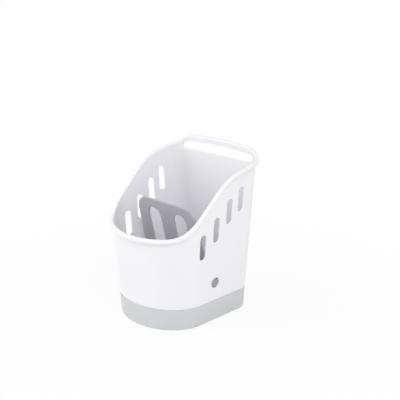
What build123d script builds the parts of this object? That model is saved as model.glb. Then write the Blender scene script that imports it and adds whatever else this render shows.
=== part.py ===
from build123d import *
import os
from math import cos, radians, sin

# Kitchen sink caddy, in millimetres.
# A white body with a low round front and a high flat rear lifts off a grey drip tray.
# A slotted plate inside it turns on two pins and leans forward to divide the space in two.
# +X is the right side seen from the low front, +Y points to the high rear and +Z is up.
# The origin is on the worktop, below the middle of the caddy's overall box.

# Outside of the tapered body, at the worktop and at the top of the rear arch
overall_height = 169.0
worktop_half_width = 49.9
top_half_width = 61.0
worktop_front = 55.7
top_front = 65.4
worktop_rear = 57.0
top_rear = 61.2
nose_depth = 40.3
corner_radius = 15.0

# Walls and floors
wall = 1.8
tray_height = 22.9
tray_floor = 3.0
tray_edge_radius = 1.2
floor_thickness = 2.0
spigot_height = 4.0
spigot_wall = 1.4
spigot_play = 0.4
spigot_headroom = 0.6
seam_radius = 0.4

# Drainer plate that drops in on a ledge above the tray
ledge_height = 1.2
ledge_width = 2.2
floor_play = 0.3

# Rim seen from the side: a low nose, a sweep up each side wall and a gentle rise to the rear
rim_nose_height = 92.8
sweep_foot_setback = 24.6
sweep_foot_rise = 4.8
sweep_top_setback = 49.2
sweep_top_drop = 21.0
rim_rear_setback = 5.8
rim_rear_drop = 10.8
sweep_foot_radius = 31.4
sweep_top_radius = 63.0

# Rim seen from the front: the arch over the rear wall
arch_foot_setback = 3.6
arch_shoulder_run = 11.5
arch_crown_rise = 1.4
arch_foot_radius = 9.0
arch_shoulder_radius = 22.0
arch_crown_radius = 170.0

# Rolled lip round the rim
lip_overhang = 2.9
lip_height = 3.6

# Upright slots in each side wall, stepping up to the rear
side_slot_width = 8.0
side_slot_length = 25.6
first_slot_front = 16.5
slot_row_depth = 49.7
first_slot_drop = 37.3
slot_depth_shares = (0.0, 0.35, 0.69, 1.0)
slot_drop_shares = (1.0, 1.073, 0.99, 0.831)

# Hanging slot under the rear arch
hanging_slot_setback = 7.4
hanging_slot_drop = 16.7
hanging_slot_height = 7.3
hanging_slot_rise = 3.0
hanging_slot_round_share = 0.44

# Pivot of the divider
pivot_rear = 3.1
pivot_lift = 11.0
pivot_hole_radius = 5.2
pin_play = 0.08
pin_recess = 0.45
pin_edge = 0.5
pin_shank_radius = 3.2
shank_play = 0.03
shank_end_play = 0.5

# Divider plate, measured along the plate from the pivot's axis
divider_lean = 13.4
divider_thickness = 2.0
divider_top = 77.3
divider_floor_gap = 2.3
divider_top_gap = 15.0
divider_pivot_gap = 5.2
divider_corner_radius = 15.2
divider_foot_radius = 4.0
divider_slot_centre = 18.5
divider_slot_width = 17.7
divider_slot_setback = 9.8
divider_slot_foot = 10.5
boss_radius = 6.2
boss_length = 12.0
boss_play = 0.5
boss_end_wall = 3.0

# Stop ribs on the drainer plate, either side of the divider's foot
rib_thickness = 1.6
rib_overlap = 1.5
rib_setback = 14.3
rib_play = 0.3

# Drain slots in the drainer plate
drain_slot_length = 26.0
drain_slot_width = 3.2
drain_column_pitch = 32.0
drain_columns = 2
drain_row_pitch = 10.0
front_drain_rows = 3
front_drain_setback = 27.8
rear_drain_rows = 4
rear_drain_setback = 25.0

# Non-slip feet under the tray
foot_radius = 6.0
foot_proud = 0.5
foot_pocket = 1.0
foot_play = 0.15
foot_edge = 0.3
foot_side_setback = 18.1
front_foot_setback = 24.8
rear_foot_setback = 16.0

# How far a cutting shape runs past what it cuts
overrun = 5.0

# Heights and places that follow from the sizes above
spigot_top = tray_height + spigot_height
ledge_underside = spigot_top + spigot_headroom
floor_underside = ledge_underside + ledge_height
floor_top = floor_underside + floor_thickness
spigot_inset = wall + spigot_play
tray_inset = spigot_inset + spigot_wall
cut_height = overall_height + overrun
rim_rear_height = overall_height - rim_rear_drop
pivot_height = floor_top + pivot_lift
pin_radius = pivot_hole_radius - pin_play
lean = radians(divider_lean)
foot_half_spacing = worktop_half_width - foot_side_setback
front_foot_place = worktop_front - front_foot_setback
rear_foot_place = worktop_rear - rear_foot_setback

# Corners of the rim's side profile, before they are rounded
rim_side = (
    (-top_front - lip_overhang - overrun, rim_nose_height),
    (sweep_foot_setback - top_front, rim_nose_height + sweep_foot_rise),
    (top_rear - sweep_top_setback, overall_height - sweep_top_drop),
    (top_rear - rim_rear_setback, rim_rear_height),
)


def at_height(worktop_size, top_size, height):
    """A size of the tapered body at a height above the worktop."""
    return worktop_size + (top_size - worktop_size) * height / overall_height


def half_width(height):
    return at_height(worktop_half_width, top_half_width, height)


def rim_over(place):
    """Height of the rim above a place along the side wall."""
    for (start, low), (end, high) in zip(rim_side, rim_side[1:]):
        if place <= end:
            return low + (high - low) * (place - start) / (end - start)
    return rim_rear_height


def d_plan(height, inset):
    """The body's outline at a height, moved inwards by the inset: elliptical nose, flat rear."""
    half = half_width(height) - inset
    front = inset - at_height(worktop_front, top_front, height)
    rear = at_height(worktop_rear, top_rear, height) - inset
    nose = nose_depth - inset
    shoulder = front + nose
    corner = corner_radius - inset
    with BuildSketch(Plane.XY.offset(height)) as plan:
        with BuildLine():
            EllipticalCenterArc((0, shoulder), half, nose, start_angle=180, arc_size=180)
            Line((half, shoulder), (half, rear - corner))
            RadiusArc((half, rear - corner), (half - corner, rear), -corner)
            Line((half - corner, rear), (corner - half, rear))
            RadiusArc((corner - half, rear), (-half, rear - corner), -corner)
            Line((-half, rear - corner), (-half, shoulder))
        make_face()
    return plan.sketch


def tapered(low, high, inset):
    """A block of the tapered body between two heights, moved inwards by the inset."""
    with BuildPart() as block:
        loft([d_plan(low, inset), d_plan(high, inset)], ruled=True)
    return block.part


def under_rim(drop):
    """Everything below the rim surface, lowered by the drop."""
    rim_front = rim_side[0][0]
    rim_rear = rim_side[-1][0]
    past_side = top_half_width + lip_overhang + overrun
    past_rear = top_rear + lip_overhang + overrun
    arch_foot = half_width(rim_rear_height) - arch_foot_setback
    arch_shoulder = arch_foot - arch_shoulder_run
    shoulder_height = overall_height - arch_crown_rise
    with BuildPart() as below:
        with BuildSketch(Plane.YZ):
            with BuildLine():
                side = FilletPolyline(
                    *[(place, height - drop) for place, height in rim_side],
                    radius=(sweep_foot_radius, sweep_top_radius),
                )
                Polyline(
                    side @ 1,
                    (rim_rear, cut_height - drop),
                    (past_rear, cut_height - drop),
                    (past_rear, -overrun),
                    (rim_front, -overrun),
                    side @ 0,
                )
            make_face()
        extrude(amount=past_side, both=True)
        with BuildSketch(Plane.XZ):
            with BuildLine():
                arch = FilletPolyline(
                    (-past_side, rim_rear_height - drop),
                    (-arch_foot, rim_rear_height - drop),
                    (-arch_shoulder, shoulder_height - drop),
                    (0, overall_height - drop),
                    (arch_shoulder, shoulder_height - drop),
                    (arch_foot, rim_rear_height - drop),
                    (past_side, rim_rear_height - drop),
                    radius=(
                        arch_foot_radius,
                        arch_shoulder_radius,
                        arch_crown_radius,
                        arch_shoulder_radius,
                        arch_foot_radius,
                    ),
                )
                Polyline(
                    arch @ 1,
                    (past_side, -overrun),
                    (-past_side, -overrun),
                    arch @ 0,
                )
            make_face()
        extrude(amount=past_rear - rim_front, both=True, mode=Mode.INTERSECT)
    return below.part


os.makedirs("parts", exist_ok=True)

foot_places = (
    ("foot_front_left", -foot_half_spacing, -front_foot_place),
    ("foot_front_right", foot_half_spacing, -front_foot_place),
    ("foot_rear_left", -foot_half_spacing, rear_foot_place),
    ("foot_rear_right", foot_half_spacing, rear_foot_place),
)

# Drip tray: a shallow pan with a spigot that centres the body
with BuildPart() as base_tray:
    add(tapered(foot_proud, tray_height, 0))
    fillet(base_tray.edges().group_by(Axis.Z)[0], radius=tray_edge_radius)
    fillet(base_tray.edges().group_by(Axis.Z)[-1], radius=seam_radius)
    add(tapered(tray_height, spigot_top, spigot_inset))
    add(tapered(foot_proud + tray_floor, spigot_top, tray_inset), mode=Mode.SUBTRACT)
    with BuildSketch(Plane.XY.offset(foot_proud)):
        with Locations(*[(x, y) for name, x, y in foot_places]):
            Circle(foot_radius + foot_play)
    extrude(amount=foot_pocket, mode=Mode.SUBTRACT)
base_tray.part.label = "base_tray"
export_step(base_tray.part, "parts/base_tray.step")

# Non-slip feet in the pockets of the tray
for name, x, y in foot_places:
    with BuildPart() as foot:
        with BuildSketch(Plane.XY):
            with Locations((x, y)):
                Circle(foot_radius)
        extrude(amount=foot_proud + foot_pocket)
        chamfer(foot.edges().group_by(Axis.Z)[0], length=foot_edge)
    foot.part.label = name
    export_step(foot.part, f"parts/{name}.step")

# Rolled lip that follows the rim
rim_block = under_rim(0)
lip_block = under_rim(lip_height)
lip_foot = rim_nose_height - lip_height - overrun
with BuildPart() as lip:
    add(tapered(lip_foot, cut_height, -lip_overhang))
    add(tapered(lip_foot, cut_height, wall), mode=Mode.SUBTRACT)
    add(rim_block, mode=Mode.INTERSECT)
    add(lip_block, mode=Mode.SUBTRACT)

# Body: thin tapered shell with its ledge, lip, slots and pivot holes
with BuildPart() as body_shell:
    add(tapered(tray_height, cut_height, 0))
    fillet(body_shell.edges().group_by(Axis.Z)[0], radius=seam_radius)
    add(tapered(floor_underside, cut_height, wall), mode=Mode.SUBTRACT)
    add(tapered(ledge_underside, floor_underside, wall + ledge_width), mode=Mode.SUBTRACT)
    add(tapered(tray_height, ledge_underside, wall), mode=Mode.SUBTRACT)
    add(rim_block, mode=Mode.INTERSECT)
    add(lip.part)
    with BuildSketch(Plane.YZ):
        for depth_share, drop_share in zip(slot_depth_shares, slot_drop_shares):
            slot_y = slot_row_depth * depth_share - first_slot_front
            slot_z = rim_over(slot_y) - first_slot_drop * drop_share
            with Locations((slot_y, slot_z)):
                SlotOverall(side_slot_length, side_slot_width, rotation=90)
        with Locations((pivot_rear, pivot_height)):
            Circle(pivot_hole_radius)
    extrude(amount=top_half_width + overrun, both=True, mode=Mode.SUBTRACT)
    slot_half = half_width(rim_rear_height) - arch_foot_setback - hanging_slot_setback
    slot_floor = overall_height - hanging_slot_drop
    slot_end = slot_floor + hanging_slot_height
    with BuildSketch(Plane.XZ.offset(-top_rear - overrun)) as hanging_slot:
        with BuildLine():
            ThreePointArc(
                (-slot_half, slot_end),
                (0, slot_end + hanging_slot_rise),
                (slot_half, slot_end),
            )
            Polyline(
                (slot_half, slot_end),
                (slot_half, slot_floor),
                (-slot_half, slot_floor),
                (-slot_half, slot_end),
            )
        make_face()
        fillet(hanging_slot.vertices(), radius=hanging_slot_height * hanging_slot_round_share)
    extrude(amount=corner_radius + overrun, mode=Mode.SUBTRACT)
body_shell.part.label = "body_shell"
export_step(body_shell.part, "parts/body_shell.step")

# Drainer plate on the body's ledge, with the divider's two stop ribs
divider_foot = pivot_lift - divider_floor_gap
divider_pivot_half = half_width(pivot_height) - wall - divider_pivot_gap
foot_swing = divider_foot * sin(lean) + divider_thickness / 2 * cos(lean) + rib_play
with BuildPart() as drain_floor:
    add(tapered(floor_underside, floor_top, wall + floor_play))
    with BuildSketch(Plane.XY.offset(floor_top)):
        for side in (-1, 1):
            with Locations((0, pivot_rear + side * (foot_swing + rib_thickness / 2))):
                Rectangle(2 * (divider_pivot_half - rib_setback), rib_thickness)
    extrude(amount=divider_floor_gap + rib_overlap)
    with BuildSketch(Plane.XY.offset(floor_underside)):
        with Locations((0, front_drain_setback - worktop_front)):
            with GridLocations(drain_column_pitch, drain_row_pitch, drain_columns, front_drain_rows):
                SlotOverall(drain_slot_length, drain_slot_width)
        with Locations((0, worktop_rear - rear_drain_setback)):
            with GridLocations(drain_column_pitch, drain_row_pitch, drain_columns, rear_drain_rows):
                SlotOverall(drain_slot_length, drain_slot_width)
    extrude(amount=floor_thickness, mode=Mode.SUBTRACT)
drain_floor.part.label = "drain_floor"
export_step(drain_floor.part, "parts/drain_floor.step")

# Divider: a slotted plate with a boss at each end of its pivot
plate = Plane(
    origin=(0, pivot_rear, pivot_height),
    x_dir=(1, 0, 0),
    z_dir=(0, -cos(lean), -sin(lean)),
)
boss_end = half_width(pivot_height - boss_radius) - wall - boss_play
shank_bore_depth = boss_length - boss_end_wall
divider_top_half = half_width(pivot_height + divider_top * cos(lean)) - wall - divider_top_gap
foot_half = divider_pivot_half + (divider_pivot_half - divider_top_half) * divider_foot / divider_top
with BuildPart() as divider:
    with BuildSketch(plate) as outline:
        with BuildLine():
            Polyline(
                (-foot_half, -divider_foot),
                (foot_half, -divider_foot),
                (divider_top_half, divider_top),
                (-divider_top_half, divider_top),
                close=True,
            )
        make_face()
        fillet(outline.vertices().group_by(Axis.Y)[0], radius=divider_foot_radius)
        fillet(outline.vertices().group_by(Axis.Y)[-1], radius=divider_corner_radius)
        divider_slot_top = divider_top - divider_slot_setback
        slot_length = divider_slot_top - divider_slot_foot
        slot_middle = (divider_slot_top + divider_slot_foot) / 2
        with Locations((-divider_slot_centre, slot_middle), (divider_slot_centre, slot_middle)):
            SlotOverall(slot_length, divider_slot_width, rotation=90, mode=Mode.SUBTRACT)
    extrude(amount=divider_thickness / 2, both=True)
    for side in (-1, 1):
        with BuildSketch(Plane.YZ.offset(side * boss_end)):
            with Locations((pivot_rear, pivot_height)):
                Circle(boss_radius)
        extrude(amount=-side * boss_length)
        with BuildSketch(Plane.YZ.offset(side * boss_end)):
            with Locations((pivot_rear, pivot_height)):
                Circle(pin_shank_radius + shank_play)
        extrude(amount=-side * shank_bore_depth, mode=Mode.SUBTRACT)
divider.part.label = "divider"
export_step(divider.part, "parts/divider.step")

# Pivot pins: a broad head in the wall's hole and a shank in the divider's boss
head_end = half_width(pivot_height) - pin_recess
for name, side in (("pivot_pin_left", -1), ("pivot_pin_right", 1)):
    with BuildPart() as pin:
        with BuildSketch(Plane.YZ.offset(side * boss_end)):
            with Locations((pivot_rear, pivot_height)):
                Circle(pin_radius)
        extrude(amount=side * (head_end - boss_end))
        outer_edge = pin.edges().sort_by(Axis.X)[-1 if side > 0 else 0]
        fillet(outer_edge, radius=pin_edge)
        with BuildSketch(Plane.YZ.offset(side * boss_end)):
            with Locations((pivot_rear, pivot_height)):
                Circle(pin_shank_radius)
        extrude(amount=-side * (shank_bore_depth - shank_end_play))
    pin.part.label = name
    export_step(pin.part, f"parts/{name}.step")
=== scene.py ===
from math import cos, hypot, pi, radians, sin, sqrt

import bmesh
import bpy
import numpy as np
from mathutils import Matrix, Vector
from mathutils.geometry import delaunay_2d_cdt


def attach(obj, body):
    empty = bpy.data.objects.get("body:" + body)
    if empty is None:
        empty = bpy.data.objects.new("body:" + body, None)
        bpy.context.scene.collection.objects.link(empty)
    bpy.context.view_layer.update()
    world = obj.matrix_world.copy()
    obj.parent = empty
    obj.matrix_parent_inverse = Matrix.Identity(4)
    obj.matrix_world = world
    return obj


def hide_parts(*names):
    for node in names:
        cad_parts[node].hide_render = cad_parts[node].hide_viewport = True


# Kitchen sink caddy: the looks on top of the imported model.
# The object's sizes are millimetres and follow the part's source. Its meshes are made in metres from them.

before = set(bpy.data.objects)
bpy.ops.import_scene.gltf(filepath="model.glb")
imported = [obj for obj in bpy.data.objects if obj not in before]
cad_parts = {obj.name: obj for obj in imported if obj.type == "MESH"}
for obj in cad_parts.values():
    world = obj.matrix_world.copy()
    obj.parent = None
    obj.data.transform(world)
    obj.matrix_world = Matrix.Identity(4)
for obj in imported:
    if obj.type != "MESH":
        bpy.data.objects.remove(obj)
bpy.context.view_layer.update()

MM = 0.001

# Body, as in the part's source
overall_height = 169.0
worktop_half_width, top_half_width = 49.9, 61.0
worktop_front, top_front = 55.7, 65.4
worktop_rear, top_rear = 57.0, 61.2
nose_depth = 40.3
corner_radius = 15.0
wall = 1.8
seam_radius = 0.4
overrun = 5.0


def at_height(worktop_size, top_size, height):
    """A size of the tapered body at a height above the worktop."""
    return worktop_size + (top_size - worktop_size) * height / overall_height


def half_width(height):
    return at_height(worktop_half_width, top_half_width, height)


def front_reach(height):
    return at_height(worktop_front, top_front, height)


def rear_reach(height):
    return at_height(worktop_rear, top_rear, height)


# Tray
tray_height, tray_floor = 22.9, 3.0
tray_edge_radius, tray_corner_radius = 1.2, 2.0
spigot_height, spigot_wall, spigot_play, spigot_edge = 4.0, 1.4, 0.4, 0.4
spigot_inset = wall + spigot_play
spigot_top = tray_height + spigot_height
tray_inset = spigot_inset + spigot_wall

# Drainer plate and the ledge that it lies on
spigot_headroom = 0.6
ledge_height, ledge_width = 1.2, 2.2
floor_thickness, floor_play, floor_edge = 2.0, 0.3, 0.4
ledge_underside = spigot_top + spigot_headroom
floor_underside = ledge_underside + ledge_height
floor_top = floor_underside + floor_thickness
drain_slot_length, drain_slot_width = 26.0, 3.2
drain_columns = (-16.0, 16.0)
drain_rows = (-37.9, -27.9, -17.9, 17.0, 27.0, 37.0, 47.0)

# Rim and its rolled lip
lip_overhang, lip_height = 2.9, 3.6
lip_root = 0.2
lip_outer_roll, lip_inner_roll, lip_lower_roll = 1.9, 1.8, 0.5
rim_nose_height = 92.8
sweep_foot_setback, sweep_foot_rise = 24.6, 4.8
sweep_top_setback, sweep_top_drop = 49.2, 21.0
rim_rear_setback, rim_rear_drop = 5.8, 10.8
rim_rear_height = overall_height - rim_rear_drop
rim_rear_reach = top_rear - rim_rear_setback
rim_side = (
    (-top_front - lip_overhang - overrun, rim_nose_height),
    (sweep_foot_setback - top_front, rim_nose_height + sweep_foot_rise),
    (top_rear - sweep_top_setback, overall_height - sweep_top_drop),
    (rim_rear_reach, rim_rear_height),
)
rim_side_radii = (31.4, 63.0)
arch_foot_setback, arch_shoulder_run, arch_crown_rise = 3.6, 11.5, 1.4
arch_foot = half_width(rim_rear_height) - arch_foot_setback
arch_shoulder = arch_foot - arch_shoulder_run
arch_shoulder_height = overall_height - arch_crown_rise
rim_arch = (
    (-top_half_width - lip_overhang - overrun, rim_rear_height),
    (-arch_foot, rim_rear_height),
    (-arch_shoulder, arch_shoulder_height),
    (0.0, overall_height),
    (arch_shoulder, arch_shoulder_height),
)
rim_arch_radii = (9.0, 22.0, 170.0)

# Side slots, whose middles are given as (Y, Z), and the hanging slot
side_slots = ((-16.5, 83.49), (0.9, 97.38), (17.79, 112.43), (33.2, 121.98))
side_slot_width, side_slot_length = 8.0, 25.6
slot_edge = 0.5
hanging_slot_setback, hanging_slot_drop = 7.4, 16.7
hanging_slot_height, hanging_slot_rise, hanging_slot_radius = 7.3, 3.0, 3.2
hanging_slot_half = arch_foot - hanging_slot_setback
hanging_slot_floor = overall_height - hanging_slot_drop
hanging_slot_end = hanging_slot_floor + hanging_slot_height
band_below_slot = 3.3
hanging_slot_under = hanging_slot_floor - band_below_slot

# Divider and its pins
pivot_rear, pivot_lift = 3.1, 11.0
pivot_height = floor_top + pivot_lift
pivot_hole_radius, hole_edge = 5.2, 0.25
lean = radians(13.4)
divider_thickness, divider_edge = 2.0, 0.7
divider_top, divider_floor_gap = 77.3, 2.3
divider_foot = pivot_lift - divider_floor_gap
divider_pivot_gap, divider_top_gap = 5.2, 15.0
divider_pivot_half = half_width(pivot_height) - wall - divider_pivot_gap
divider_top_half = half_width(pivot_height + divider_top * cos(lean)) - wall - divider_top_gap
divider_taper = (divider_pivot_half - divider_top_half) / divider_top
divider_foot_half = divider_pivot_half + divider_taper * divider_foot
divider_corner_radius, divider_foot_radius = 15.2, 4.0
divider_slot_centre, divider_slot_width = 18.5, 17.7
divider_slot_setback, divider_slot_foot = 9.8, 10.5
divider_slot_top = divider_top - divider_slot_setback
boss_length, boss_radius, boss_edge, boss_play = 12.0, 6.2, 0.6, 0.5
boss_end = half_width(pivot_height - boss_radius) - wall - boss_play
pin_recess, pin_radius, pin_edge, pin_dish = 0.45, 5.12, 0.35, 0.25
pin_head_end = half_width(pivot_height) - pin_recess
pin_face_radius, pin_dish_radius, pin_ring_depth = 4.2, 3.15, 1.3
shank_radius, shank_length = 3.2, 8.5
shank_bore_radius, shank_bore_depth = 3.23, 9.0

# Stop ribs on the drainer plate
rib_thickness, rib_overlap, rib_setback, rib_play = 1.6, 1.5, 14.3, 0.3
rib_top = floor_top + divider_floor_gap + rib_overlap
rib_half = divider_pivot_half - rib_setback
foot_swing = divider_foot * sin(lean) + divider_thickness / 2 * cos(lean) + rib_play
rib_middle = foot_swing + rib_thickness / 2

# Feet
feet = {
    "foot_front_left": (-31.8, -30.9),
    "foot_front_right": (31.8, -30.9),
    "foot_rear_left": (-31.8, 41.0),
    "foot_rear_right": (31.8, 41.0),
}
foot_proud, foot_pocket, foot_pocket_radius = 0.5, 1.0, 6.15

# Samples along each stretch of the body's outline and along the rim's arcs
nose_steps, side_steps, corner_steps, rear_steps = 72, 40, 16, 48
rim_steps = 24
# Passes that settle the height of a point of the rim, because the body tapers
rim_passes = 8
# Samples of small arcs: rolled edges, the lip's outer roll, the hanging slot's corners, the tray's lower
# edge and the divider's outline
edge_steps, outer_roll_steps, slot_corner_steps, tray_edge_steps, plate_steps = 3, 6, 6, 8, 16
# Stations of the nose, next to each side wall, that the first slots reach into
nose_lead = 2
# Stations of each rear corner that the field round the hanging slot reaches into
rear_lead = 4
# Points along the hanging slot's long edges, and the share of its half width that they cover
slot_points, slot_share = 37, 0.9
# Settings of the flat fill, and the angle from which an edge is drawn sharp
inside_outlines, flat_tolerance = 1, 1e-5
sharp_angle = radians(50)


def rounded(points, radii, steps=10, closed=False):
    """A polyline with its corners turned into arcs. A corner with no radius stays sharp."""
    points = [Vector(point) for point in points]
    count = len(points)
    path = [] if closed else [points[0]]
    inner = range(count) if closed else range(1, count - 1)
    for index, radius in zip(inner, radii):
        corner = points[index]
        if not radius:
            path.append(corner)
            continue
        before = (points[index - 1] - corner).normalized()
        after = (points[(index + 1) % count] - corner).normalized()
        half_turn = before.angle(after) / 2
        reach = radius / np.tan(half_turn)
        centre = corner + (before + after).normalized() * (radius / sin(half_turn))
        start = corner + before * reach - centre
        end = corner + after * reach - centre
        sweep = start.angle(end)
        for step in range(steps + 1):
            share = step / steps
            turned = (start * sin((1 - share) * sweep) + end * sin(share * sweep)) / sin(sweep)
            path.append(centre + turned)
    if not closed:
        path.append(points[-1])
    return path


side_line = np.array(rounded(rim_side, rim_side_radii, rim_steps))
arch_line = np.array(rounded(rim_arch, rim_arch_radii, rim_steps))


def rim_over(x, y):
    """Height of the rim surface above a point of the plan."""
    arch = np.interp(-abs(x), arch_line[:, 0], arch_line[:, 1])
    if y > rim_rear_reach:
        return float(arch)
    return float(min(arch, np.interp(y, side_line[:, 0], side_line[:, 1])))


def plan_point(station, height, inset):
    """A point of the body's outline at a height, moved inwards by the inset."""
    stretch, share = station
    half = half_width(height) - inset
    shoulder = nose_depth - front_reach(height)
    rear = rear_reach(height) - inset
    corner = corner_radius - inset
    if stretch == "nose":
        turn = pi * (1 + share)
        return half * cos(turn), shoulder + (nose_depth - inset) * sin(turn)
    if stretch == "right":
        return half, shoulder + share * (rear - corner - shoulder)
    if stretch == "right corner":
        turn = share * pi / 2
        return half - corner + corner * cos(turn), rear - corner + corner * sin(turn)
    if stretch == "rear":
        return (half - corner) * (1 - 2 * share), rear
    if stretch == "left corner":
        turn = (1 + share) * pi / 2
        return corner - half + corner * cos(turn), rear - corner + corner * sin(turn)
    return -half, rear - corner - share * (rear - corner - shoulder)


stretches = (
    ("nose", nose_steps),
    ("right", side_steps),
    ("right corner", corner_steps),
    ("rear", rear_steps),
    ("left corner", corner_steps),
    ("left", side_steps),
)
stations = [(name, step / steps) for name, steps in stretches for step in range(steps)]
starts = {}
for name, steps in stretches:
    starts[name] = stations.index((name, 0.0))


def level(height, inset):
    """The outline at one height."""
    return [(*plan_point(station, height, inset), height) for station in stations]


def along_rim(drop, inset):
    """The line that runs round the body, a drop below the rim."""
    line = []
    for station in stations:
        height = rim_nose_height
        for _ in range(rim_passes):
            height = rim_over(*plan_point(station, height, inset)) - drop
        line.append((*plan_point(station, height, inset), height))
    return line


def arc(centre, radius, start, end, steps=4):
    """Points of an arc between two directions in degrees, in a section's own two coordinates."""
    turns = [radians(start + (end - start) * step / steps) for step in range(steps + 1)]
    return [(centre[0] + radius * cos(turn), centre[1] + radius * sin(turn)) for turn in turns]


def stadium(centre, length, width, grow=0.0, steps=10):
    """A slot's outline round a centre, long in its second coordinate, grown outwards."""
    radius = width / 2 + grow
    straight = (length - width) / 2
    outline = []
    for start, shift in ((0, straight), (180, -straight)):
        outline += arc((centre[0], centre[1] + shift), radius, start, start + 180, steps)
    return outline


def circle(centre, radius, steps=40):
    return arc(centre, radius, 0, 360 - 360 / steps, steps - 1)


def moved_in(outline, distance):
    """A closed outline, drawn anticlockwise, moved inwards."""
    moved = []
    for index, point in enumerate(outline):
        before = outline[index - 1]
        after = outline[(index + 1) % len(outline)]
        run = (after[0] - before[0], after[1] - before[1])
        size = hypot(*run)
        moved.append((point[0] - run[1] / size * distance, point[1] + run[0] / size * distance))
    return moved


class Mould:
    """A closed mesh that is built from rings of vertices, in millimetres."""

    def __init__(self):
        self.mesh = bmesh.new()

    def ring(self, points):
        return [self.mesh.verts.new(point) for point in points]

    def skin(self, first, second, closed=True):
        count = len(first)
        for here in range(count if closed else count - 1):
            there = (here + 1) % count
            self.mesh.faces.new((first[here], first[there], second[there], second[here]))

    def loft(self, rings):
        for first, second in zip(rings, rings[1:]):
            self.skin(first, second)

    def fill(self, loops, normal):
        """Fills the first loop round the holes that the others make, with compact triangles."""
        to_flat = Vector(normal).rotation_difference(Vector((0, 0, 1)))
        corners = [corner for loop in loops for corner in loop]
        flat = [(to_flat @ corner.co).xy for corner in corners]
        edges, start = [], 0
        for loop in loops:
            count = len(loop)
            edges += [(start + index, start + (index + 1) % count) for index in range(count)]
            start += count
        _, _, triangles, sources, _, _ = delaunay_2d_cdt(flat, edges, [], inside_outlines, flat_tolerance)
        first = np.array([flat[here] for here, there in edges])
        second = np.array([flat[there] for here, there in edges])
        rise = second[:, 1] - first[:, 1]
        for triangle in triangles:
            ends = [sources[index][0] for index in triangle]
            across, up = np.mean([flat[index] for index in ends], axis=0)
            passed = (first[:, 1] > up) != (second[:, 1] > up)
            share = (up - first[passed, 1]) / rise[passed]
            meets = first[passed, 0] + share * (second[passed, 0] - first[passed, 0])
            if np.count_nonzero(meets > across) % 2:
                self.mesh.faces.new([corners[index] for index in ends])

    def lathe(self, profile, centre, side, steps=56):
        """Turns a profile of (x, radius) round an axis along X. The profile starts and ends on the axis."""
        rings = []
        for x, radius in profile[1:-1]:
            turns = circle(centre, radius, steps)
            rings.append(self.ring([(side * x, y, z) for y, z in turns]))
        self.loft(rings)
        for x, ring in ((profile[0][0], rings[0]), (profile[-1][0], rings[-1])):
            pole = self.mesh.verts.new((side * x, *centre))
            for first, second in zip(ring, ring[1:] + ring[:1]):
                self.mesh.faces.new((pole, first, second))

    def piece(self, name, material, body, slot, *nodes):
        """Closes the mesh and puts it in the scene in place of CAD nodes."""
        bmesh.ops.recalc_face_normals(self.mesh, faces=self.mesh.faces)
        self.mesh.transform(Matrix.Scale(MM, 4))
        data = bpy.data.meshes.new(name)
        self.mesh.to_mesh(data)
        self.mesh.free()
        data.polygons.foreach_set("use_smooth", [True] * len(data.polygons))
        data.set_sharp_from_angle(angle=sharp_angle)
        data.materials.append(material)
        made = bpy.data.objects.new(name, data)
        bpy.context.scene.collection.objects.link(made)
        weighted = made.modifiers.new("even shading", "WEIGHTED_NORMAL")
        weighted.keep_sharp = True
        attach(made, body)
        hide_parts(*nodes)
        return made


# Noises of the plastics: how fine each is, per metre, and its octaves
cloud_scale, cloud_detail = 22.0, 3.0
smear_scale, smear_detail = 60.0, 4.0
grain_detail = 2.0
# The part of a noise's values that the colour and the gloss spread over
noise_low, noise_high = 0.3, 0.7
plastic_ior = 1.49


def plastic(name, colour, shade, roughness, grain_size, grain_depth, sheen_share=0.5):
    """Moulded plastic: a slightly uneven colour and gloss over a fine moulded grain."""
    material = bpy.data.materials.new(name)
    material.use_nodes = True
    nodes, links = material.node_tree.nodes, material.node_tree.links
    shader = nodes["Principled BSDF"]
    shader.inputs["IOR"].default_value = plastic_ior
    shader.inputs["Specular IOR Level"].default_value = sheen_share
    place = nodes.new("ShaderNodeTexCoord")

    def noise(scale, detail):
        node = nodes.new("ShaderNodeTexNoise")
        node.inputs["Scale"].default_value = scale
        node.inputs["Detail"].default_value = detail
        links.new(place.outputs["Object"], node.inputs["Vector"])
        return node.outputs["Fac"]

    tone = nodes.new("ShaderNodeValToRGB")
    dark, light = tone.color_ramp.elements
    dark.position, light.position = noise_low, noise_high
    dark.color, light.color = (*shade, 1), (*colour, 1)
    links.new(noise(cloud_scale, cloud_detail), tone.inputs["Fac"])
    links.new(tone.outputs["Color"], shader.inputs["Base Color"])

    gloss = nodes.new("ShaderNodeMapRange")
    gloss.inputs["From Min"].default_value, gloss.inputs["From Max"].default_value = noise_low, noise_high
    gloss.inputs["To Min"].default_value, gloss.inputs["To Max"].default_value = roughness
    links.new(noise(smear_scale, smear_detail), gloss.inputs["Value"])
    links.new(gloss.outputs["Result"], shader.inputs["Roughness"])

    bump = nodes.new("ShaderNodeBump")
    bump.inputs["Strength"].default_value = 1.0
    bump.inputs["Distance"].default_value = grain_depth * MM
    links.new(noise(1 / (grain_size * MM), grain_detail), bump.inputs["Height"])
    links.new(bump.outputs["Normal"], shader.inputs["Normal"])
    return material


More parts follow.
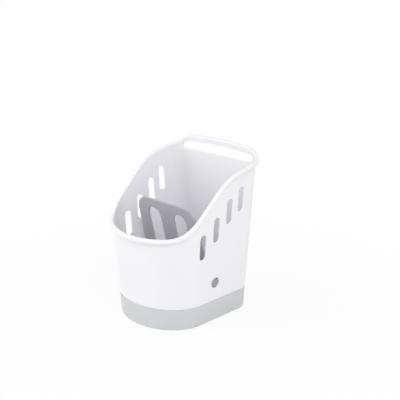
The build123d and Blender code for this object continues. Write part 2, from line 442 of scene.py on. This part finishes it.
# Each plastic: its two tones, its roughness from and to, and its grain's size and depth in millimetres
white_plastic = plastic("white_plastic", (0.905, 0.9, 0.93), (0.895, 0.89, 0.92), (0.3, 0.36), 1.2, 0.002)
tray_plastic = plastic("tray_plastic", (0.64, 0.65, 0.665), (0.625, 0.635, 0.65), (0.42, 0.5), 0.35, 0.006)
# The divider's grey is the pins' plastic painted lighter and faintly purple: painted light and painted
# reflected light that stand in for the light falling on the divider inside the body
grey_plastic_painted_light = plastic(
    "grey_plastic_painted_light", (0.485, 0.475, 0.52), (0.47, 0.46, 0.505), (0.18, 0.24), 0.35, 0.003
)
pin_plastic = plastic("pin_plastic", (0.35, 0.35, 0.365), (0.335, 0.335, 0.35), (0.3, 0.38), 0.35, 0.005)
pad_rubber = plastic("pad_rubber", (0.30, 0.30, 0.31), (0.27, 0.27, 0.28), (0.7, 0.85), 0.4, 0.02, 0.3)

# Body shell: holes through the walls first, then the lip, the seam, the walls and the ledge
shell = Mould()


def wall_rows(edge):
    """How far a hole has grown and how deep it is in the wall, row by row from the outer face inwards."""
    outer = arc((edge, edge), edge, -90, -180, edge_steps)
    inner = arc((edge, wall - edge), edge, 180, 90, edge_steps)
    return outer + inner


def side_surface(y, height, inset):
    """Half the width between the side walls, and between the sides of the nose in front of them."""
    past = max(0.0, nose_depth - front_reach(height) - y)
    return (half_width(height) - inset) * sqrt(1 - (past / (nose_depth - inset)) ** 2)


def rear_surface(x, height, inset):
    """Y of the rear wall, round its corners too."""
    corner = corner_radius - inset
    past = max(0.0, abs(x) - (half_width(height) - inset - corner))
    return rear_reach(height) - inset - corner + sqrt(corner * corner - past * past)


def side_hole(outline, side, edge):
    """A hole through a side wall. The outline takes a growth and gives places along Y and Z."""
    rings = []
    for across, depth in wall_rows(edge):
        places = outline(across)
        rings.append(shell.ring([(side * side_surface(y, z, depth), y, z) for y, z in places]))
    shell.loft(rings)
    return rings[0], rings[-1]


holes = {}
for side, name in ((1, "right"), (-1, "left")):
    holes[name] = [
        side_hole(
            lambda grow, centre=centre: stadium(centre, side_slot_length, side_slot_width, grow),
            side,
            slot_edge,
        )
        for centre in side_slots
    ]
    holes[name].append(
        side_hole(
            lambda grow: circle((pivot_rear, pivot_height), pivot_hole_radius + grow),
            side,
            hole_edge,
        )
    )


def crown_over(x):
    """Height of the hanging slot's upper edge, which bulges in the middle."""
    return hanging_slot_end + hanging_slot_rise * (1 - (x / hanging_slot_half) ** 2)


slot_floor_line = np.linspace(-slot_share, slot_share, slot_points) * hanging_slot_half
slot_outline = [
    (-hanging_slot_half, hanging_slot_floor),
    *[(x, hanging_slot_floor) for x in slot_floor_line],
    (hanging_slot_half, hanging_slot_floor),
    (hanging_slot_half, hanging_slot_end),
    *[(x, crown_over(x)) for x in -slot_floor_line],
    (-hanging_slot_half, hanging_slot_end),
]
long_edge = [hanging_slot_radius, *[0] * slot_points, hanging_slot_radius]
hanging_outline = rounded(slot_outline, long_edge * 2, slot_corner_steps, closed=True)
hanging_rings = []
for across, depth in wall_rows(slot_edge):
    grown = moved_in(hanging_outline, -across)
    hanging_rings.append(shell.ring([(x, rear_surface(x, z, depth), z) for x, z in grown]))
shell.loft(hanging_rings)


def run(ring, first, last):
    """Part of a ring, from one station to another, round its end if need be."""
    return [ring[index % len(ring)] for index in range(first, last + 1)]


def walls(foot, head, inset, which):
    """One face of the wall between two rings, with the holes left open."""
    nose_start, nose_end = nose_lead, starts["right"] - nose_lead
    rear_start, rear_end = starts["right corner"], starts["left"]
    field_start, field_end = starts["rear"] - rear_lead, starts["left corner"] + rear_lead
    left_end = len(stations) + nose_start
    shell.skin(run(foot, nose_start, nose_end), run(head, nose_start, nose_end), closed=False)
    middle = shell.ring(
        [
            (*plan_point(stations[index], hanging_slot_under, inset), hanging_slot_under)
            for index in range(rear_start, rear_end + 1)
        ]
    )
    shell.skin(run(foot, rear_start, rear_end), middle, closed=False)
    for first, last in ((rear_start, field_start), (field_end, rear_end)):
        part = middle[first - rear_start : last - rear_start + 1]
        shell.skin(part, run(head, first, last), closed=False)
    lower = middle[field_start - rear_start : field_end - rear_start + 1]
    rear_loop = lower + run(head, field_start, field_end)[::-1]
    shell.fill([rear_loop, hanging_rings[which]], (0, 1, 0))
    right_loop = run(foot, nose_end, rear_start) + [middle[0]] + run(head, nose_end, rear_start)[::-1]
    left_loop = run(foot, rear_end, left_end) + run(head, rear_end, left_end)[::-1] + [middle[-1]]
    shell.fill([right_loop, *[hole[which] for hole in holes["right"]]], (1, 0, 0))
    shell.fill([left_loop, *[hole[which] for hole in holes["left"]]], (-1, 0, 0))


lip_section = [
    *arc((-lip_root, lip_height + lip_root), lip_root, 0, -90, edge_steps),
    *arc((lip_lower_roll - lip_overhang, lip_height - lip_lower_roll), lip_lower_roll, 90, 180),
    *arc((lip_outer_roll - lip_overhang, lip_outer_roll), lip_outer_roll, 180, 270, outer_roll_steps),
    *arc((wall - lip_inner_roll, lip_inner_roll), lip_inner_roll, 270, 360),
]
lip_rings = [shell.ring(along_rim(drop, inset)) for inset, drop in lip_section]
shell.loft(lip_rings)
seam_section = arc((seam_radius, tray_height + seam_radius), seam_radius, 180, 270, edge_steps)
seam_rings = [shell.ring(level(height, inset)) for inset, height in seam_section]
shell.loft(seam_rings)
inner_foot = shell.ring(level(floor_underside, wall))
walls(seam_rings[0], lip_rings[0], 0, 0)
walls(inner_foot, lip_rings[-1], wall, -1)
ledge_section = [
    (floor_underside, wall + ledge_width),
    (ledge_underside, wall + ledge_width),
    (ledge_underside, wall),
    (tray_height, wall),
]
ledge_rings = [shell.ring(level(height, inset)) for height, inset in ledge_section]
shell.loft([inner_foot, *ledge_rings, seam_rings[-1]])
shell.piece("shell", white_plastic, "shell", "shell_plastic", "body_shell")

# Drainer plate with its slots and the divider's stop ribs
drainer = Mould()
plate_inset = wall + floor_play
plate_section = [
    (plate_inset, floor_underside),
    *arc((plate_inset + floor_edge, floor_top - floor_edge), floor_edge, 180, 90, edge_steps),
]
plate_rings = [drainer.ring(level(height, inset)) for inset, height in plate_section]
drainer.loft(plate_rings)
drains_above, drains_below = [], []
for x in drain_columns:
    for y in drain_rows:
        rings = []
        for grow, height in ((floor_edge, floor_top), (0.0, floor_top - floor_edge), (0.0, floor_underside)):
            outline = stadium((y, x), drain_slot_length, drain_slot_width, grow)
            rings.append(drainer.ring([(across, deep, height) for deep, across in outline]))
        drainer.loft(rings)
        drains_above.append(rings[0])
        drains_below.append(rings[-1])
drainer.fill([plate_rings[-1], *drains_above], (0, 0, 1))
drainer.fill([plate_rings[0], *drains_below], (0, 0, -1))
for side in (-1, 1):
    middle = pivot_rear + side * rib_middle
    section = [
        (middle - rib_thickness / 2, floor_top - floor_edge),
        (middle + rib_thickness / 2, floor_top - floor_edge),
        (middle + rib_thickness / 2, rib_top),
        (middle - rib_thickness / 2, rib_top),
    ]
    outline = rounded(section, (0, 0, floor_edge, floor_edge), edge_steps, closed=True)
    ends = [drainer.ring([(end, y, z) for y, z in outline]) for end in (-rib_half, rib_half)]
    drainer.skin(*ends)
    for end, ring in zip((-1, 1), ends):
        drainer.fill([ring], (end, 0, 0))
drainer.piece("drainer", white_plastic, "shell", "shell_plastic", "drain_floor")

# Drip tray
tray = Mould()
tray_bed = foot_proud + tray_floor
tray_section = [
    *arc((tray_edge_radius, foot_proud + tray_edge_radius), tray_edge_radius, 270, 180, tray_edge_steps),
    *arc((seam_radius, tray_height - seam_radius), seam_radius, 180, 90, edge_steps),
    (spigot_inset, tray_height),
    *arc((spigot_inset + spigot_edge, spigot_top - spigot_edge), spigot_edge, 180, 90, edge_steps),
    *arc((tray_inset - spigot_edge, spigot_top - spigot_edge), spigot_edge, 90, 0, edge_steps),
    *arc((tray_inset + tray_corner_radius, tray_bed + tray_corner_radius), tray_corner_radius, 180, 270),
]
tray_rings = [tray.ring(level(height, inset)) for inset, height in tray_section]
tray.loft(tray_rings)
pockets = []
for place in feet.values():
    outline = circle(place, foot_pocket_radius)
    mouth = tray.ring([(*point, foot_proud) for point in outline])
    roof = tray.ring([(*point, foot_proud + foot_pocket) for point in outline])
    tray.skin(mouth, roof)
    tray.fill([roof], (0, 0, -1))
    pockets.append(mouth)
tray.fill([tray_rings[0], *pockets], (0, 0, -1))
tray.fill([tray_rings[-1]], (0, 0, 1))
tray.piece("drip_tray", tray_plastic, "tray", "tray_plastic", "base_tray")

# Divider: a leaning plate with round edges, two long slots and a boss at each end of its pivot
divider = Mould()
along = Vector((0, -sin(lean), cos(lean)))
ahead = Vector((0, -cos(lean), -sin(lean)))
pivot = Vector((0, pivot_rear, pivot_height))
plate_corners = (
    (-divider_foot_half, -divider_foot),
    (divider_foot_half, -divider_foot),
    (divider_top_half, divider_top),
    (-divider_top_half, divider_top),
)
plate_radii = (divider_foot_radius, divider_foot_radius, divider_corner_radius, divider_corner_radius)
plate_outline = rounded(plate_corners, plate_radii, plate_steps, closed=True)
slot_length = divider_slot_top - divider_slot_foot
slot_middle = (divider_slot_top + divider_slot_foot) / 2
half_plate = divider_thickness / 2
front_rows = arc((divider_edge, half_plate - divider_edge), divider_edge, 90, 180)
edge_rows = front_rows + [(across, -depth) for across, depth in reversed(front_rows)]


def on_plate(outline, depth):
    """A ring on the leaning plate, at a depth in front of its middle."""
    return divider.ring([pivot + Vector((x, 0, 0)) + along * up + ahead * depth for x, up in outline])


outer_rings = [on_plate(moved_in(plate_outline, across), depth) for across, depth in edge_rows]
divider.loft(outer_rings)
slot_rings = []
for side in (-1, 1):
    centre = (side * divider_slot_centre, slot_middle)
    rings = [
        on_plate(stadium(centre, slot_length, divider_slot_width, across, plate_steps), depth)
        for across, depth in edge_rows
    ]
    divider.loft(rings)
    slot_rings.append(rings)
divider.fill([outer_rings[0], *[rings[0] for rings in slot_rings]], ahead)
divider.fill([outer_rings[-1], *[rings[-1] for rings in slot_rings]], -ahead)
boss_rim = boss_radius - boss_edge
boss_profile = [
    (boss_end - shank_bore_depth, 0),
    (boss_end - shank_bore_depth, shank_bore_radius),
    (boss_end, shank_bore_radius),
    *arc((boss_end - boss_edge, boss_rim), boss_edge, 0, 90, edge_steps),
    *arc((boss_end - boss_length + boss_edge, boss_rim), boss_edge, 90, 180, edge_steps),
    (boss_end - boss_length, 0),
]
for side in (-1, 1):
    divider.lathe(boss_profile, (pivot_rear, pivot_height), side)
divider.piece("divider_plate", grey_plastic_painted_light, "divider", "divider_plastic", "divider")

# Pivot pins: a slightly dished face inside a sunk ring, in the wall's hole, and a shank in the boss
pin_profile = [
    (boss_end - shank_length, 0),
    (boss_end - shank_length, shank_radius),
    (boss_end, shank_radius),
    (boss_end, pin_radius),
    (pin_head_end - pin_ring_depth, pin_radius),
    (pin_head_end - pin_ring_depth, pin_face_radius),
    *arc((pin_head_end - pin_edge, pin_face_radius - pin_edge), pin_edge, 90, 0),
    (pin_head_end, pin_dish_radius),
    (pin_head_end - pin_dish, pin_dish_radius - pin_dish),
    (pin_head_end - pin_dish, 0),
]
for side, name in ((-1, "left"), (1, "right")):
    pin = Mould()
    pin.lathe(pin_profile, (pivot_rear, pivot_height), side)
    pin.piece(f"pin_{name}", pin_plastic, "divider", "divider_plastic", f"pivot_pin_{name}")

# Feet keep their CAD shape
for name in feet:
    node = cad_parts[name]
    node.data.materials.clear()
    node.data.materials.append(pad_rubber)

white = (1.0, 1.0, 1.0, 1)


def rays_of(nodes, links, *kinds):
    """One for rays of either of two kinds, and nothing for the others."""
    rays = nodes.new("ShaderNodeLightPath")
    seen = nodes.new("ShaderNodeMath")
    seen.operation = "MAXIMUM"
    for kind, socket in zip(kinds, seen.inputs):
        links.new(rays.outputs[kind], socket)
    return seen.outputs[0]


def mixed(nodes, links, share, plain, special, target):
    """Shows the special shader for the share, the plain one for the rest."""
    blend = nodes.new("ShaderNodeMixShader")
    links.new(share, blend.inputs["Fac"])
    links.new(plain.outputs[0], blend.inputs[1])
    links.new(special.outputs[0], blend.inputs[2])
    links.new(blend.outputs[0], nodes.new(target).inputs["Surface"])


# Floor: white to the camera with a faint shadow near the object, and plain pale for the light it throws back
floor_span, floor_corners = 8.0, 96
floor_white = 0.9
shadow_share = 0.13
shadow_near, shadow_far = 0.08, 0.4
bpy.ops.mesh.primitive_circle_add(
    vertices=floor_corners, radius=floor_span, fill_type="NGON", location=(0, 0, 0)
)
floor = bpy.context.object
floor.name = "floor"
floor_material = bpy.data.materials.new("pale_floor")
floor_material.use_nodes = True
nodes, links = floor_material.node_tree.nodes, floor_material.node_tree.links
nodes.clear()
paper = nodes.new("ShaderNodeBsdfDiffuse")
paper.inputs["Color"].default_value = (floor_white, floor_white, floor_white, 1)
glow = nodes.new("ShaderNodeEmission")
glow.inputs["Strength"].default_value = 1.0
spot = nodes.new("ShaderNodeNewGeometry")
distance = nodes.new("ShaderNodeVectorMath")
distance.operation = "LENGTH"
links.new(spot.outputs["Position"], distance.inputs[0])
fade = nodes.new("ShaderNodeMapRange")
fade.interpolation_type = "SMOOTHSTEP"
fade.inputs["From Min"].default_value, fade.inputs["From Max"].default_value = shadow_near, shadow_far
fade.inputs["To Min"].default_value, fade.inputs["To Max"].default_value = 1 - shadow_share, 1.0
links.new(distance.outputs["Value"], fade.inputs["Value"])
share = nodes.new("ShaderNodeMath")
share.operation = "MULTIPLY"
links.new(rays_of(nodes, links, "Is Camera Ray", "Is Glossy Ray"), share.inputs[0])
links.new(fade.outputs["Result"], share.inputs[1])
mixed(nodes, links, share.outputs[0], paper, glow, "ShaderNodeOutputMaterial")
floor.data.materials.append(floor_material)

# World: white behind the object, softer for the light that falls on it
sky_strength = 0.68
world = bpy.data.worlds.new("studio")
bpy.context.scene.world = world
world.use_nodes = True
nodes, links = world.node_tree.nodes, world.node_tree.links
nodes.clear()
sky = nodes.new("ShaderNodeBackground")
sky.inputs["Color"].default_value = white
sky.inputs["Strength"].default_value = sky_strength
backdrop = nodes.new("ShaderNodeBackground")
backdrop.inputs["Color"].default_value = white
backdrop.inputs["Strength"].default_value = 1.0
open_rays = rays_of(nodes, links, "Is Camera Ray", "Is Transmission Ray")
mixed(nodes, links, open_rays, sky, backdrop, "ShaderNodeOutputWorld")


def soft_box(name, place, aim, size, watts):
    """A square area lamp that looks at a point of the object."""
    lamp = bpy.data.lights.new(name, "AREA")
    lamp.shape = "SQUARE"
    lamp.size = size
    lamp.energy = watts
    made = bpy.data.objects.new(name, lamp)
    bpy.context.scene.collection.objects.link(made)
    made.location = place
    made.rotation_euler = (Vector(aim) - Vector(place)).to_track_quat("-Z", "Y").to_euler()


# Lamps, with places and sizes in metres
middle_of_body = (0.0, 0.0, 0.07)
soft_box("key", (-0.6, -0.68, 0.9), middle_of_body, 0.5, 1.65)
soft_box("low_key", (-0.73, -0.78, 0.42), middle_of_body, 0.6, 2.05)
soft_box("fill", (0.85, -0.35, 0.95), middle_of_body, 0.6, 4.7)

# Camera, fitted to the photograph, with its place and clips in metres
camera_place = Vector((0.52718, -0.49398, 0.33358))
camera_turn, camera_tilt = radians(44.923), radians(16.777)
camera_lens, camera_sensor = 68.09, 36.0
clip_near, clip_far = 0.01, 40.0
level_reach = cos(camera_tilt)
back = Vector((sin(camera_turn) * level_reach, -cos(camera_turn) * level_reach, sin(camera_tilt)))
right = Vector((cos(camera_turn), sin(camera_turn), 0))
turned = Matrix((right, back.cross(right), back)).transposed().to_4x4()
data = bpy.data.cameras.new("camera")
data.lens, data.sensor_width = camera_lens, camera_sensor
data.clip_start, data.clip_end = clip_near, clip_far
camera = bpy.data.objects.new("camera", data)
bpy.context.scene.collection.objects.link(camera)
camera.matrix_world = Matrix.Translation(camera_place) @ turned
bpy.context.scene.camera = camera

bpy.context.scene.view_settings.view_transform = "Standard"
